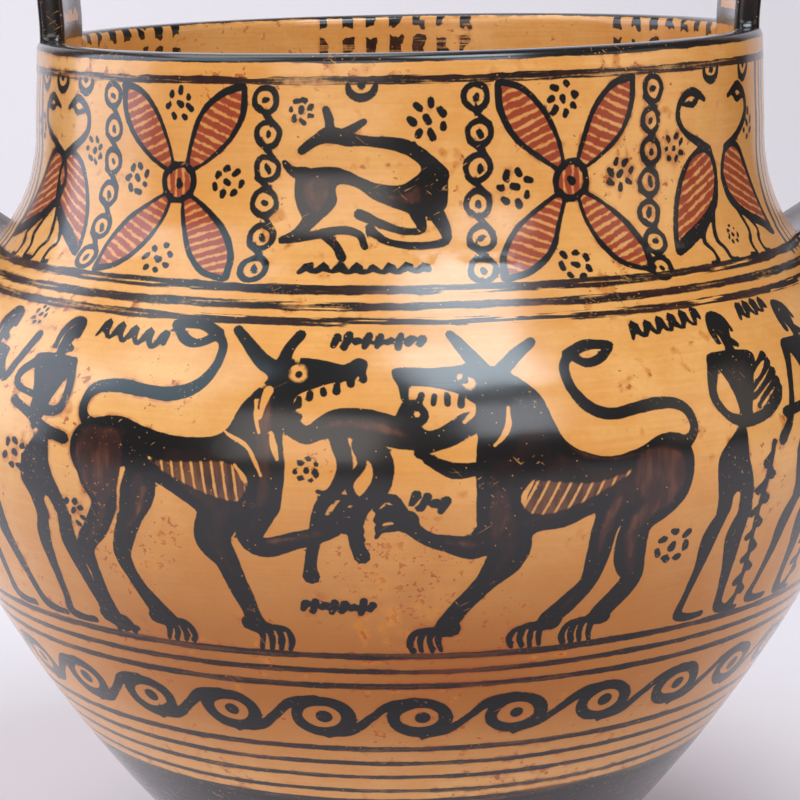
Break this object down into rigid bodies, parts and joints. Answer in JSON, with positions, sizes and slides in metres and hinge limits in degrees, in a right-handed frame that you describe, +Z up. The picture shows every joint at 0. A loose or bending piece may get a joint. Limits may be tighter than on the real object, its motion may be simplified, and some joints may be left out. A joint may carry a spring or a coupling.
{
  "type": "geometric vase",
  "caption": "Wide-necked fired-clay vase with a round belly, a disc foot and tall strap handles, painted with dark bands, birds, beasts and a running spiral.",
  "frame": {"origin": "on the ground, at the middle of the foot", "axes": "+Z up along the body's axis, +X from one handle to the other, -Y towards the painted front"},
  "size_m": [0.211, 0.1902, 0.2188],
  "materials": {
    "painted_clay": "orange-buff clay under dark brown and red slip with a thin worn gloss"
  },
  "bodies": {
    "root": {"vase": "painted_clay"}
  },
  "joints": []
}
